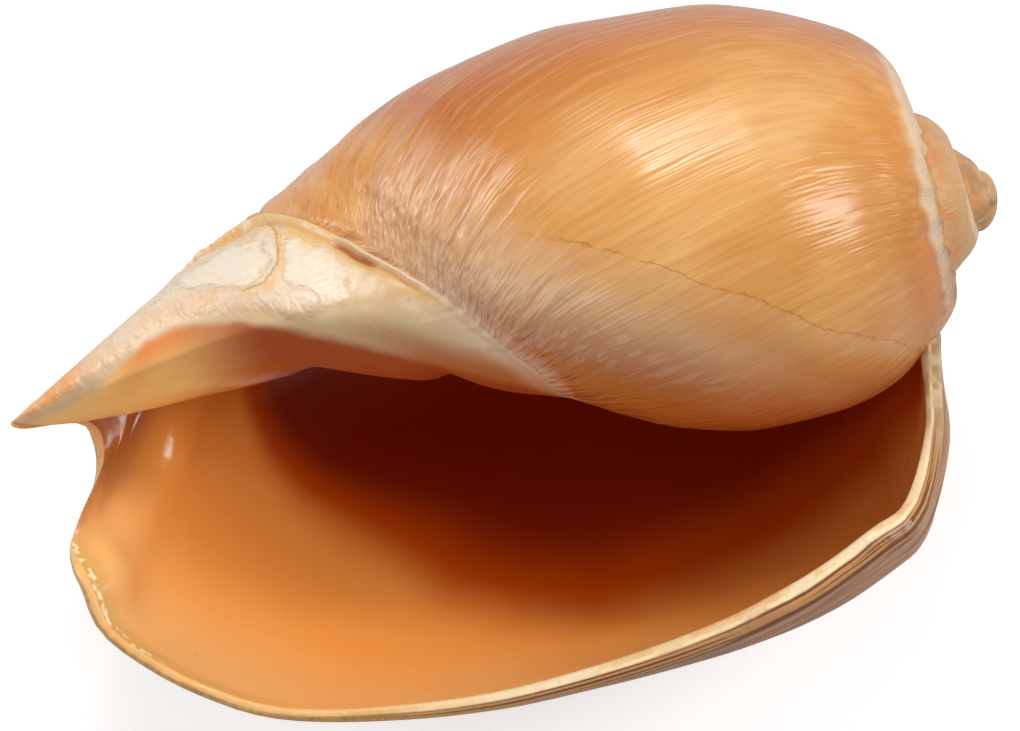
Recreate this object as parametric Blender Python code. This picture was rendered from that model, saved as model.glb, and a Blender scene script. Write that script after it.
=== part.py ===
"""Volute shell, empty, as one grown solid: body whorl, spire, columella, canal and open aperture."""
import bmesh
import bpy
import numpy as np
from mathutils import Euler

# The wall is a section that turns about the coiling axis and grows by one factor every turn.
# Sections are (distance along the axis from the apex, distance from the axis), in millimetres,
# at the size the shell has at its lip. Seventeen stations run from the suture to the canal's end.
growth_per_whorl = 2.333
apex_section = [(14.6, 29.0), (15.6, 33.4), (17.7, 37.6), (22.2, 43.6), (29.0, 49.5), (44.0, 61.5),
                (60.0, 66.0), (88.8, 64.0), (115.1, 52.0), (127.6, 43.5), (139.1, 36.3), (145.8, 31.8),
                (149.8, 28.9), (153.2, 26.5), (157.2, 24.4), (161.0, 22.3), (166.4, 15.5)]
spire_section = [(14.3, 28.0), (15.2, 32.5), (17.5, 37.8), (22.0, 43.2), (28.5, 47.6), (42.9, 52.8),
                 (59.2, 55.4), (88.8, 55.5), (115.1, 48.8), (127.6, 42.9), (139.1, 36.3), (145.8, 31.8),
                 (149.8, 28.9), (153.2, 26.5), (157.2, 24.4), (161.0, 22.3), (166.4, 15.5)]
belly_section = [(15.2, 24.5), (15.4, 29.6), (17.3, 36.2), (21.8, 42.8), (28.1, 48.4), (40.7, 58.5),
                 (59.2, 64.8), (88.8, 66.9), (115.1, 61.9), (128.8, 56.2), (140.6, 50.3), (148.0, 45.6),
                 (151.7, 42.3), (154.7, 40.3), (157.8, 38.2), (161.0, 35.2), (164.6, 30.8)]
back_section = [(13.9, 21.0), (14.5, 27.0), (17.1, 34.0), (22.2, 39.7), (29.6, 44.0), (42.9, 49.6),
                (59.2, 53.4), (88.8, 53.7), (115.1, 47.7), (127.6, 42.2), (139.1, 35.5), (145.8, 31.1),
                (149.8, 28.1), (153.2, 25.8), (157.2, 23.5), (161.0, 21.8), (166.4, 14.8)]
lip_section = [(10.7, 19.8), (10.8, 26.6), (11.7, 35.5), (16.0, 48.1), (21.9, 53.1), (34.9, 58.3),
               (52.5, 61.1), (81.1, 62.8), (110.3, 59.9), (126.5, 53.6), (139.0, 43.2), (142.5, 34.2),
               (148.4, 31.2), (152.6, 29.0), (157.2, 25.3), (160.7, 22.3), (166.8, 16.0)]
# How far round the axis the lip reaches at each station, and how far the older growth lines do.
lip_reach_deg = [8, 14, 22, 29, 30, 26, 20, 13, 7, 3, 2, 0, -17, -44, -57, -63, -48.6]
line_reach_deg = [8, 8, 8, 8, 8, 7, 4, -4, -13, -20, -30, -38, -44, -52, -60, -66, -48.6]
# Wall at the lip, station by station, and everywhere behind it.
lip_wall = [2.7, 2.7, 3.0, 3.6, 4.0, 4.0, 3.3, 2.5, 1.9, 1.7, 1.6, 1.8, 2.1, 2.4, 3.0, 3.5, 3.0]
old_wall = 2.5
canal_corner = (157.8, 16.3)
# The body whorl ends in the fasciole's raised edge: turns before the lip, and the station there.
fasciole_edge = [(-1.12, 11.2), (-0.86, 11.0), (-0.762, 11.1), (-0.739, 11.6), (-0.714, 12.1), (-0.68, 12.8),
                 (-0.65, 13.2), (-0.62, 13.6), (-0.571, 14.4), (-0.545, 14.8), (-0.51, 15.2), (-0.464, 15.3),
                 (-0.391, 15.1), (-0.34, 14.8), (-0.287, 14.3), (-0.25, 13.9), (-0.20, 14.2), (-0.10, 15.3),
                 (-0.03, 16.0), (0.0, 16.0)]
# The columella's lower edge, lifted from a straight line: share of the way to the tip, and mm.
columella_arch = [(0.0, 0.0), (0.10, 1.2), (0.214, 3.7), (0.35, 5.0), (0.45, 5.3), (0.60, 3.7), (0.80, 1.0),
                  (0.95, -0.5), (1.0, 0.0)]

apex_lift = 2.1
apex_swell = 0.04
apex_top = 1.65
waist_depth = 2.1
face_crown = 7.7
plait_height = 0.022
rim_roundness = 0.3

steps_per_whorl = 36
whorls_outside = 2.9
whorls_hollow = 1.75
rows_above_foot = 6
rows_below_foot = 17
rows_on_columella = 8
rows_on_rim = 3
foot_gap = 0.5

# The empty shell lies on its back with the aperture up.
rest_turn_deg = (20.1, 1.2, 0.0)

last = 16
growth_rate = np.log(growth_per_whorl) / (2 * np.pi)


def ease(x, start, end):
    t = np.clip((x - start) / (end - start), 0, 1)
    return t * t * (3 - 2 * t)


def along(table, station):
    """Smooth curve through a table's rows that never overshoots them."""
    table = np.asarray(table, float)
    flat = table.ndim == 1
    if flat:
        table = table[:, None]
    station = np.clip(np.asarray(station, float), 0, last)
    i = np.minimum(np.floor(station).astype(int), last - 1)
    f = (station - i)[..., None]
    rows = np.vstack([2 * table[0] - table[1], table, 2 * table[-1] - table[-2]])
    step = rows[i + 2] - rows[i + 1]
    before = (rows[i + 2] - rows[i]) / 2
    after = (rows[i + 3] - rows[i + 1]) / 2
    limit = 3 * np.abs(step)
    before = np.where(before * step < 0, 0, np.clip(before, -limit, limit))
    after = np.where(after * step < 0, 0, np.clip(after, -limit, limit))
    value = (2 * f ** 3 - 3 * f ** 2 + 1) * rows[i + 1] + (f ** 3 - 2 * f ** 2 + f) * before
    value = value + (-2 * f ** 3 + 3 * f ** 2) * rows[i + 2] + (f ** 3 - f ** 2) * after
    return value[..., 0] if flat else value


def through_points(points, x):
    """Smooth curve through (x, y) points."""
    point_x = np.array([point[0] for point in points], float)
    point_y = np.array([point[1] for point in points], float)
    slope = np.gradient(point_y, point_x)
    i = np.clip(np.searchsorted(point_x, x) - 1, 0, len(points) - 2)
    width = point_x[i + 1] - point_x[i]
    f = np.clip((x - point_x[i]) / width, 0, 1)
    value = (2 * f ** 3 - 3 * f ** 2 + 1) * point_y[i] + (f ** 3 - 2 * f ** 2 + f) * width * slope[i]
    return value + (3 * f ** 2 - 2 * f ** 3) * point_y[i + 1] + (f ** 3 - f ** 2) * width * slope[i + 1]


apex_table = np.array(apex_section)
spire_table = np.array(spire_section)
belly_table = np.array(belly_section)
back_table = np.array(back_section)
lip_table = np.array(lip_section)
# One section every half whorl, from two whorls before the lip to half a whorl past it.
section_tables = [apex_table, apex_table, spire_table, belly_table, back_table, lip_table,
                  lip_table + 0.8 * (lip_table - back_table)]


def section(turns, station):
    t = np.clip((turns + 2) / 0.5, 0, 4)
    i = np.minimum(np.floor(t).astype(int), 3)
    f = (t - i)[..., None]
    stack = np.stack([along(table, station) for table in section_tables])
    place = np.arange(len(station))
    a = stack[i, place]
    b = stack[i + 1, place]
    c = stack[i + 2, place]
    d = stack[i + 3, place]
    return b + 0.5 * f * (c - a + f * (2 * a - 5 * b + 4 * c - d + f * (3 * (b - c) + d - a)))


def outside(turns, station):
    """Points of the outer surface: turns before the lip, and stations from the suture to the canal."""
    station = np.asarray(station, float)
    near_lip = ease(turns, -0.35, 0.0)
    reach = along(line_reach_deg, station)
    reach = reach + (along(lip_reach_deg, station) - reach) * near_lip
    angle = np.radians(360 * turns + reach)
    blend = ease(turns, -0.5, 0.0)
    shape = section(angle / (2 * np.pi) * (1 - blend) + turns * blend, station)
    size = np.exp(growth_rate * angle)
    along_axis = shape[:, 0] * size - apex_lift * np.exp(-(size / 0.17) ** 2)
    from_axis = shape[:, 1] * size * (1 + apex_swell * np.exp(-((size - 0.10) / 0.06) ** 2))
    return place_round(angle, along_axis, from_axis), angle, size, along_axis, from_axis


def place_round(angle, along_axis, from_axis):
    return np.stack([-along_axis, -from_axis * np.cos(angle), from_axis * np.sin(angle)], -1)


def foot_station(turns):
    """Where a whorl stands on the one before: lower on early whorls, and the last quarter turn climbs."""
    return 4.38 - 0.98 * ease(turns, -0.30, 0.0) + 0.75 * (1 - ease(turns, -1.6, -0.4))


fine = np.linspace(0, last, 321)
middle = (along(lip_table, fine) + along(back_table, fine)) / 2
gone = np.sqrt((np.diff(middle, axis=0) ** 2).sum(1)) + 0.18
length_so_far = np.concatenate([[0], np.cumsum(gone)])


def spread(first, end, count):
    ends = np.interp([first, end], fine, length_so_far)
    return np.interp(np.linspace(ends[0], ends[1], count + 1), length_so_far, fine)


turn_count = int(round(whorls_outside * steps_per_whorl))
hollow_count = int(round(whorls_hollow * steps_per_whorl))
row_count = rows_above_foot + 1 + rows_below_foot

outer = np.zeros((turn_count + 1, row_count + 1, 3))
lip_rows = None
for column in range(turn_count + 1):
    turns = (column - turn_count) / steps_per_whorl
    foot = foot_station(min(turns + 1, 0.0))
    edge = float(through_points(fasciole_edge, max(turns, fasciole_edge[0][0])))
    lip_rows = np.concatenate([spread(0, foot, rows_above_foot),
                               spread(foot + foot_gap, edge, rows_below_foot)])
    outer[column] = outside(turns, lip_rows)[0]
# Each whorl's first rows follow the place where they stand on the whorl before.
for column in range(steps_per_whorl, turn_count + 1):
    seat = outer[column - steps_per_whorl, rows_above_foot]
    shift = seat - outer[column, 0]
    far = np.linalg.norm(outer[column] - outer[column, 0], axis=1)
    reach = 4.0 * growth_per_whorl ** ((column - turn_count) / steps_per_whorl)
    outer[column] += shift * np.exp(-(far / reach) ** 2)[:, None]
    outer[column, 0] = seat

inner = np.zeros((hollow_count + 1, row_count + 1, 3))
for column in range(hollow_count + 1):
    turns = (column - hollow_count) / steps_per_whorl
    skin, angle, size, along_axis, from_axis = outside(turns, lip_rows)
    growing = skin - outside(turns - 0.01, lip_rows)[0]
    crossing = (outside(turns, np.clip(lip_rows + 0.05, 0, last))[0]
                - outside(turns, np.clip(lip_rows - 0.05, 0, last))[0])
    facing = np.cross(growing, crossing)
    facing = facing / np.linalg.norm(facing, axis=1)[:, None]
    half = row_count // 2
    if facing[half, 1] * skin[half, 1] + facing[half, 2] * skin[half, 2] > 0:
        facing = -facing
    near_lip = ease(turns, -0.3, 0.0)
    wall = (along(lip_wall, lip_rows) * near_lip + (1 - near_lip) * old_wall) * size
    lining = skin + facing * wall[:, None]
    end = ease(turns, -0.12, 0.0)
    corner = place_round(angle[-1], (1 - end) * canal_corner[0] * size[-1] + end * along_axis[-1],
                         (1 - end) * canal_corner[1] * size[-1] + end * from_axis[-1])
    pull = ease(lip_rows, last - 2.2, last)[:, None]
    lining = (1 - pull) * lining + pull * corner
    lining[-1] = corner
    lining[0] = outer[turn_count - hollow_count + column - steps_per_whorl, rows_above_foot + 1]
    inner[column] = lining
tip = outer[turn_count, row_count].copy()
inner[hollow_count, row_count] = tip

# The columella joins the old canal's trail to the new canal; past the lip it fans out to the tip.
column_count = hollow_count + steps_per_whorl
columella = np.zeros((column_count + 1, rows_on_columella + 1, 3))
v = np.linspace(0, 1, rows_on_columella + 1)[:, None]
arch = through_points(columella_arch, v[:, 0])[:, None]
toward_face = np.array([0.0, 0.0, 1.0])
upward = np.array([0.0, 1.0, 0.0])
for column in range(column_count + 1):
    start = outer[turn_count - hollow_count - steps_per_whorl + column, row_count]
    end = inner[column, row_count] if column <= hollow_count else tip
    length = np.linalg.norm(end - start)
    past = (column - hollow_count) / steps_per_whorl
    angle = np.arctan2(start[2], -start[1])
    outward = np.array([0.0, -np.cos(angle), np.sin(angle)])
    waist = np.sin(np.pi * v ** 0.72)
    line = start * (1 - v) + end * v
    if past > 0:
        crown = face_crown * np.sin(np.pi * np.clip(past, 0, 1)) ** 1.1
        turn = ease(past, 0.0, 0.15)
        lift = arch * (1 - ease(past, 0.24, 0.55))
        line = line + toward_face * crown * np.sin(np.pi * v)
        line = line + (upward * turn - outward * (1 - turn)) * lift
    else:
        deep = ease(-past, 0.0, 0.3)
        plaits = np.exp(-((v - 0.31) / 0.06) ** 2) + 0.9 * np.exp(-((v - 0.55) / 0.07) ** 2)
        line = line - outward * (arch * (1 - deep) + waist_depth * waist * deep) * (length / 80.0)
        line = line + plait_height * length * deep * plaits * outward
    columella[column] = line
    columella[column, 0] = start
    columella[column, rows_on_columella] = end

corners = []
corner_number = {}
polygons = []


def add_face(*points):
    numbers = []
    for point in points:
        key = tuple(np.round(point, 4))
        if key not in corner_number:
            corner_number[key] = len(corners)
            corners.append(point)
        if corner_number[key] not in numbers:
            numbers.append(corner_number[key])
    if len(numbers) >= 3:
        polygons.append(numbers)


# Outside of every whorl, and the older whorl's outside that lines the hollow.
for column in range(turn_count):
    for row in range(row_count):
        outdoors = row < rows_above_foot
        under_foot = row == rows_above_foot and column >= turn_count - steps_per_whorl
        below = row > rows_above_foot and column >= turn_count - hollow_count - steps_per_whorl
        if outdoors or under_foot or below:
            add_face(outer[column, row], outer[column + 1, row],
                     outer[column + 1, row + 1], outer[column, row + 1])
for column in range(hollow_count):
    for row in range(row_count):
        add_face(inner[column, row], inner[column, row + 1],
                 inner[column + 1, row + 1], inner[column + 1, row])
for column in range(column_count):
    for row in range(rows_on_columella):
        add_face(columella[column, row], columella[column + 1, row],
                 columella[column + 1, row + 1], columella[column, row + 1])

# The lip's rounded rim, and its foot on the body whorl.
forward = outer[turn_count] - outer[turn_count - 1]
forward = forward / np.linalg.norm(forward, axis=1)[:, None]
wide = np.linalg.norm(inner[hollow_count] - outer[turn_count], axis=1)
rim = np.zeros((row_count + 1, rows_on_rim + 1, 3))
for row in range(rows_on_rim + 1):
    f = row / rows_on_rim
    rim[:, row] = outer[turn_count] * (1 - f) + inner[hollow_count] * f
    rim[:, row] += forward * (np.sin(np.pi * f) * rim_roundness * wide)[:, None]
rim[:, 0] = outer[turn_count]
rim[:, rows_on_rim] = inner[hollow_count]
for row in range(row_count):
    for across in range(rows_on_rim):
        add_face(rim[row, across], rim[row, across + 1], rim[row + 1, across + 1], rim[row + 1, across])
lip_column = turn_count - steps_per_whorl
add_face(outer[lip_column, rows_above_foot], outer[lip_column, rows_above_foot + 1],
         *[rim[0, across] for across in range(rows_on_rim - 1, 0, -1)])

# The hollow's blind end.
ring = [inner[0, row] for row in range(row_count + 1)]
ring += [columella[0, row] for row in range(rows_on_columella - 1, -1, -1)]
old_column = turn_count - hollow_count - steps_per_whorl
ring += [outer[old_column, row] for row in range(row_count - 1, rows_above_foot + 1, -1)]
centre = np.mean(ring, axis=0)
for i in range(len(ring)):
    add_face(ring[i], centre, ring[(i + 1) % len(ring)])

# The blunt first whorl is a dome.
ring = [outer[column, 0] for column in range(steps_per_whorl + 1)]
ring += [outer[0, row] for row in range(rows_above_foot - 1, 0, -1)]
ring = np.array(ring)
pole = np.array([apex_top, 0.0, 0.0])
below = ring
for level in (0.25, 0.5, 0.75):
    above = ring.copy()
    above[:, 1:] *= np.cos(level * np.pi / 2)
    above[:, 0] += (pole[0] - ring[:, 0]) * np.sin(level * np.pi / 2)
    for i in range(len(ring)):
        j = (i + 1) % len(ring)
        add_face(below[i], below[j], above[j], above[i])
    below = above
for i in range(len(ring)):
    add_face(below[i], below[(i + 1) % len(ring)], pole)

for thing in list(bpy.data.objects):
    bpy.data.objects.remove(thing, do_unlink=True)

mesh = bpy.data.meshes.new("shell")
mesh.from_pydata([[float(value) / 1000 for value in point] for point in corners], [], polygons)
mesh.transform(Euler([np.radians(value) for value in rest_turn_deg]).to_matrix().to_4x4())
work = bmesh.new()
work.from_mesh(mesh)
bmesh.ops.triangulate(work, faces=work.faces[:])
bmesh.ops.recalc_face_normals(work, faces=work.faces[:])
if work.calc_volume(signed=True) < 0:
    bmesh.ops.reverse_faces(work, faces=work.faces[:])
lowest = min(vertex.co.z for vertex in work.verts)
left = min(vertex.co.x for vertex in work.verts)
right = max(vertex.co.x for vertex in work.verts)
near = min(vertex.co.y for vertex in work.verts)
far = max(vertex.co.y for vertex in work.verts)
bmesh.ops.translate(work, verts=work.verts[:], vec=(-(left + right) / 2, -(near + far) / 2, -lowest))
for face in work.faces:
    face.smooth = True
work.to_mesh(mesh)
work.free()

shell = bpy.data.objects.new("shell", mesh)
bpy.context.scene.collection.objects.link(shell)

glaze = bpy.data.materials.new("glazed_shell")
glaze.use_nodes = True
surface = glaze.node_tree.nodes["Principled BSDF"]
surface.inputs["Base Color"].default_value = (0.62, 0.30, 0.10, 1.0)
surface.inputs["Roughness"].default_value = 0.25
shell.data.materials.append(glaze)
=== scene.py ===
# Volute shell on its back, aperture up, on a plain table
import functools
import itertools
import math

import bpy
import numpy as np
from mathutils import Euler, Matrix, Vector


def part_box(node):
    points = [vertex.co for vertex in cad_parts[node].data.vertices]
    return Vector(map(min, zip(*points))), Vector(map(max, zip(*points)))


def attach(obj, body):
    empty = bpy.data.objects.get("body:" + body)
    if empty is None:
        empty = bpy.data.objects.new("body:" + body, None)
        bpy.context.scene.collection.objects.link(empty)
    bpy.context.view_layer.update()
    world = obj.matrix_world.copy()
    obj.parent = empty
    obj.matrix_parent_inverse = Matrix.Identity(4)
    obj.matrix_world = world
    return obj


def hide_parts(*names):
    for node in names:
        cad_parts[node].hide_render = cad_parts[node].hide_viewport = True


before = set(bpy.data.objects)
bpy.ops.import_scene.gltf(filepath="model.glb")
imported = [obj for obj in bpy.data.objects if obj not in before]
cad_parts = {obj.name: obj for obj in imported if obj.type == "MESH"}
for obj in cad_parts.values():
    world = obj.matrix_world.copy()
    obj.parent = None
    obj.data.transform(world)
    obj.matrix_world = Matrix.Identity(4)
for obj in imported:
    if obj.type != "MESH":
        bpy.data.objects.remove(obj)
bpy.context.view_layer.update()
lowCorner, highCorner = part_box("shell")
print("frame loaded, nodes:", len(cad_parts))

# the whorls: each section is (distance along the axis, distance from the axis) in mm at lip size,
# seventeen places from the suture to the canal's end
shellForm = {
    "growthPerWhorl": 2.333,
    "apexSection": [(14.6, 29), (15.6, 33.4), (17.7, 37.6), (22.2, 43.6), (29, 49.5), (44, 61.5),
                    (60, 66), (88.8, 64), (115.1, 52), (127.6, 43.5), (139.1, 36.3), (145.8, 31.8),
                    (149.8, 28.9), (153.2, 26.5), (157.2, 24.4), (161, 22.3), (166.4, 15.5)],
    "spireSection": [(14.3, 28), (15.2, 32.5), (17.5, 37.8), (22, 43.2), (28.5, 47.6), (42.9, 52.8),
                     (59.2, 55.4), (88.8, 55.5), (115.1, 48.8), (127.6, 42.9), (139.1, 36.3), (145.8, 31.8),
                     (149.8, 28.9), (153.2, 26.5), (157.2, 24.4), (161, 22.3), (166.4, 15.5)],
    "bellySection": [(15.2, 24.5), (15.4, 29.6), (17.3, 36.2), (21.8, 42.8), (28.1, 48.4), (40.7, 58.5),
                     (59.2, 64.8), (88.8, 66.9), (115.1, 61.9), (128.8, 56.2), (140.6, 50.3), (148, 45.6),
                     (151.7, 42.3), (154.7, 40.3), (157.8, 38.2), (161, 35.2), (164.6, 30.8)],
    "backSection": [(13.9, 21), (14.5, 27), (17.1, 34), (22.2, 39.7), (29.6, 44), (42.9, 49.6),
                    (59.2, 53.4), (88.8, 53.7), (115.1, 47.7), (127.6, 42.2), (139.1, 35.5), (145.8, 31.1),
                    (149.8, 28.1), (153.2, 25.8), (157.2, 23.5), (161, 21.8), (166.4, 14.8)],
    "lipSection": [(10.7, 19.8), (10.8, 26.6), (11.7, 35.5), (16, 48.1), (21.9, 53.1), (34.9, 58.3),
                   (52.5, 61.1), (81.1, 62.8), (110.3, 59.9), (126.5, 53.6), (139, 43.2), (142.5, 34.2),
                   (148.4, 31.2), (152.6, 29), (157.2, 25.3), (160.7, 22.3), (166.8, 16)],
    "lipReach": [8, 14, 22, 29, 30, 26, 20, 13, 7, 3, 2, 0, -17, -44, -57, -63, -48.6],  # degrees round
    "growthLineReach": [8, 8, 8, 8, 8, 7, 4, -4, -13, -20, -30, -38, -44, -52, -60, -66, -48.6],
    "lipWall": [2.7, 2.7, 3.0, 3.6, 4.0, 4.0, 3.3, 2.5, 1.9, 1.7, 1.6, 1.8, 2.1, 2.4, 3.0, 3.5, 3.0],
    "oldWall": 2.5,
    "canalCorner": (157.8, 16.3),
    "apexLift": 2.1,
    "apexSwell": 0.04,
    "apexTop": 1.65,
    "footStation": 4.38, "footClimb": 0.98, "earlyFootDrop": 0.75,  # where a whorl stands on the one before
    "sutureWaves": 17, "sutureWaveHeight": 0.10,
    "growthRadius": 62,  # from the axis at lip size, for the growth's length
    "restTurn": (20.1, 1.2, 0.0),  # how it lies on its back, degrees
}
# how finely it is laid out
shellGrid = {"frontSteps": 200, "backSteps": 72, "oldStride": 4, "aboveFoot": 20, "inGap": 4,
             "belowFoot": 72, "onColumella": 56, "onRim": 8, "whorls": 2.9, "hollowWhorls": 1.75}
# where the body whorl ends in the fasciole's raised edge: turns before the lip, and the station there
fascioleEdge = [(-1.12, 11.2), (-0.86, 11), (-0.762, 11.1), (-0.739, 11.6), (-0.714, 12.1), (-0.68, 12.8),
                (-0.65, 13.2), (-0.62, 13.6), (-0.571, 14.4), (-0.545, 14.8), (-0.51, 15.2), (-0.464, 15.3),
                (-0.391, 15.1), (-0.34, 14.8), (-0.287, 14.3), (-0.25, 13.9), (-0.20, 14.2), (-0.10, 15.3),
                (-0.03, 16), (0, 16)]
# the columella's lower edge, lifted from a straight line: share of the way to the tip, and mm
columellaArch = [(0, 0), (0.10, 1.2), (0.214, 3.7), (0.35, 5), (0.45, 5.3), (0.60, 3.7), (0.80, 1),
                 (0.95, -0.5), (1, 0)]
plaitLobes = [(0, 0), (0.10, -0.2), (0.16, 0), (0.214, 0.8), (0.25, -0.6), (0.30, -0.8),
              (0.35, -0.4), (0.40, 0.3), (0.451, 1.1), (0.50, 0.2), (0.56, -0.2), (0.66, -0.3),
              (0.80, -0.6), (0.90, -0.2), (1, 0)]
lastStation = 16
growthRate = math.log(shellForm["growthPerWhorl"]) / (2 * math.pi)


def ease(x, start, end):
    t = np.clip((x - start) / (end - start), 0, 1)
    return t * t * (3 - 2 * t)


def bell(x, middle, width):
    # one at the middle, falling away on both sides
    return np.exp(-((x - middle) / width) ** 2)


def unit(vectors):
    return vectors / np.maximum(np.linalg.norm(vectors, axis=-1, keepdims=True), 1e-12)


def distance(points, others):
    return np.linalg.norm(points - others, axis=-1)


def hermite(f, first, second, leaving, arriving):
    return ((2 * f ** 3 - 3 * f ** 2 + 1) * first + (f ** 3 - 2 * f ** 2 + f) * leaving
            + (3 * f ** 2 - 2 * f ** 3) * second + (f ** 3 - f ** 2) * arriving)


def followTable(table, station):
    # smooth curve through a table's rows that never overshoots them
    table = np.asarray(table, float)
    flat = table.ndim == 1
    if flat:
        table = table[:, None]
    station = np.clip(np.asarray(station, float), 0, lastStation)
    i = np.minimum(np.floor(station).astype(int), lastStation - 1)
    f = (station - i)[..., None]
    rows = np.vstack([2 * table[0] - table[1], table, 2 * table[-1] - table[-2]])
    step = rows[i + 2] - rows[i + 1]
    limit = 3 * np.abs(step)
    before = np.clip((rows[i + 2] - rows[i]) / 2, -limit, limit)
    after = np.clip((rows[i + 3] - rows[i + 1]) / 2, -limit, limit)
    before = np.where(before * step < 0, 0, before)
    after = np.where(after * step < 0, 0, after)
    value = hermite(f, rows[i + 1], rows[i + 2], before, after)
    return value[..., 0] if flat else value


def throughPoints(points, x):
    # smooth curve through (x, y) points
    px, py = np.array(points, float).T
    slope = np.gradient(py, px)
    i = np.clip(np.searchsorted(px, x) - 1, 0, len(px) - 2)
    w = px[i + 1] - px[i]
    f = np.clip((x - px[i]) / w, 0, 1)
    return hermite(f, py[i], py[i + 1], w * slope[i], w * slope[i + 1])


sectionTables = [np.array(shellForm[name + "Section"])
                 for name in ("apex", "apex", "spire", "belly", "back", "lip")]
backTable, lipTable = sectionTables[-2:]
sectionTables.append(lipTable + 0.8 * (lipTable - backTable))  # where the section would go past the lip


def sectionAt(turns, station):
    t = np.clip((turns + 2) / 0.5, 0, 4)
    i = np.minimum(np.floor(t).astype(int), 3)
    f = (t - i)[..., None]
    stack = np.stack([followTable(table, station) for table in sectionTables])

    def pick(k):
        which = np.broadcast_to((i + k)[None, ..., None], (1,) + stack.shape[1:])
        return np.take_along_axis(stack, which, 0)[0]

    a, b, c, d = pick(0), pick(1), pick(2), pick(3)
    return b + 0.5 * f * (c - a + f * (2 * a - 5 * b + 4 * c - d + f * (3 * (b - c) + d - a)))


def placeRound(angle, alongAxis, fromAxis):
    return np.stack([-alongAxis, -fromAxis * np.cos(angle), fromAxis * np.sin(angle)], -1)


def outerSurface(turns, station):
    # outside of the wall: turns before the lip, and station from the suture to the canal
    turns, station = np.broadcast_arrays(np.asarray(turns, float), np.asarray(station, float))
    nearLip = ease(turns, -0.35, 0.0)
    reach = followTable(shellForm["growthLineReach"], station)
    reach = reach + (followTable(shellForm["lipReach"], station) - reach) * nearLip
    angle = np.radians(360 * turns + reach)
    byTurns = ease(turns, -0.5, 0.0)
    shape = sectionAt(angle / (2 * np.pi) * (1 - byTurns) + turns * byTurns, station)
    size = np.exp(growthRate * angle)
    alongAxis = shape[..., 0] * size - shellForm["apexLift"] * bell(size, 0, 0.17)
    fromAxis = shape[..., 1] * size * (1 + shellForm["apexSwell"] * bell(size, 0.10, 0.06))
    return placeRound(angle, alongAxis, fromAxis), angle, size, alongAxis, fromAxis


def footStation(turns):
    # lower on the early whorls, and the last quarter turn climbs
    climb = shellForm["footClimb"] * ease(turns, -0.30, 0.0)
    return shellForm["footStation"] - climb + shellForm["earlyFootDrop"] * (1 - ease(turns, -1.6, -0.4))


fineStations = np.linspace(0, lastStation, 321)
middleSection = (followTable(lipTable, fineStations) + followTable(backTable, fineStations)) / 2
stepLength = np.sqrt((np.diff(middleSection, axis=0) ** 2).sum(1)) + 0.18
stepLength = stepLength * (1 + 1.1 * ease(fineStations[1:], 10.0, 11.5))  # closer rows on the fasciole
lengthSoFar = np.concatenate([[0], np.cumsum(stepLength)])


def spreadRows(first, end, count, crowd=1.0):
    ends = np.interp([first, end], fineStations, lengthSoFar)
    share = np.linspace(0, 1, count + 1) ** crowd
    return np.interp(ends[0] + (ends[1] - ends[0]) * share, lengthSoFar, fineStations)


def randomCurve(x, knotsPerTurn, seed):
    # irregular but smooth up and down along the growth, the same every run
    values = np.random.default_rng(seed).uniform(-1, 1, 8192)
    at = (np.asarray(x) + 4) * knotsPerTurn
    i = np.floor(at).astype(int)
    f = ease(at - i, 0, 1)
    return values[i % len(values)] * (1 - f) + values[(i + 1) % len(values)] * f


hashPrimes = (73856093, 19349663, 83492791)


def lumpyNoise(points, cell, seed):
    # smooth random lumps of about one cell, -1 to 1
    table = np.random.default_rng(seed).uniform(-1, 1, 4096)
    at = np.asarray(points) / cell
    i = np.floor(at).astype(np.int64)
    f = ease(at - i, 0, 1)
    total = 0
    for cellCorner in itertools.product((0, 1), repeat=3):
        key = 0
        weight = 1.0
        for axis, step in enumerate(cellCorner):
            key = key ^ ((i[..., axis] + step) * hashPrimes[axis])
            weight = weight * (f[..., axis] if step else 1 - f[..., axis])
        total = total + table[key % len(table)] * weight
    return total


def sheetNormals(grid):
    return unit(np.cross(np.gradient(grid, axis=0), np.gradient(grid, axis=1)))


# columns: one whorl's pattern repeated, closer over the front
front = np.linspace(0, 0.5, shellGrid["frontSteps"] + 1)[:-1]
back = 0.5 + np.linspace(0, 0.5, shellGrid["backSteps"] + 1)[:-1]
pattern = np.concatenate([front, back])
perWhorl = len(pattern)
columnTurns = np.concatenate([pattern - 3, pattern - 2, pattern - 1, [0.0]])
isOldColumn = (np.arange(perWhorl) % shellGrid["oldStride"] == 0) | (pattern >= 0.5)
isOldColumn = np.append(np.tile(isOldColumn, 3), True)
lipColumn = 3 * perWhorl  # the lip itself
backOneWhorl = 2 * perWhorl  # one whorl before the lip
firstColumn = int(np.argmin(np.abs(columnTurns + shellGrid["whorls"])))
hollowColumn = int(np.argmin(np.abs(columnTurns + shellGrid["hollowWhorls"])))
footRow = shellGrid["aboveFoot"]
gapRow = footRow + shellGrid["inGap"]
endRow = gapRow + shellGrid["belowFoot"]


def sutureWave(turns):
    # the suture runs in small waves, stronger as the shell grows
    wave = np.sin(2 * np.pi * (shellForm["sutureWaves"] * turns + 0.9 * randomCurve(turns, 6, 3)))
    wave = shellForm["sutureWaveHeight"] * (wave + 0.6 * randomCurve(turns, 30, 4))
    uneven = 1 + 0.5 * randomCurve(turns, 9, 5)
    return wave * uneven * ease(turns, -1.9, -0.7) * (1 - ease(turns, -0.12, 0.0))


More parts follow.
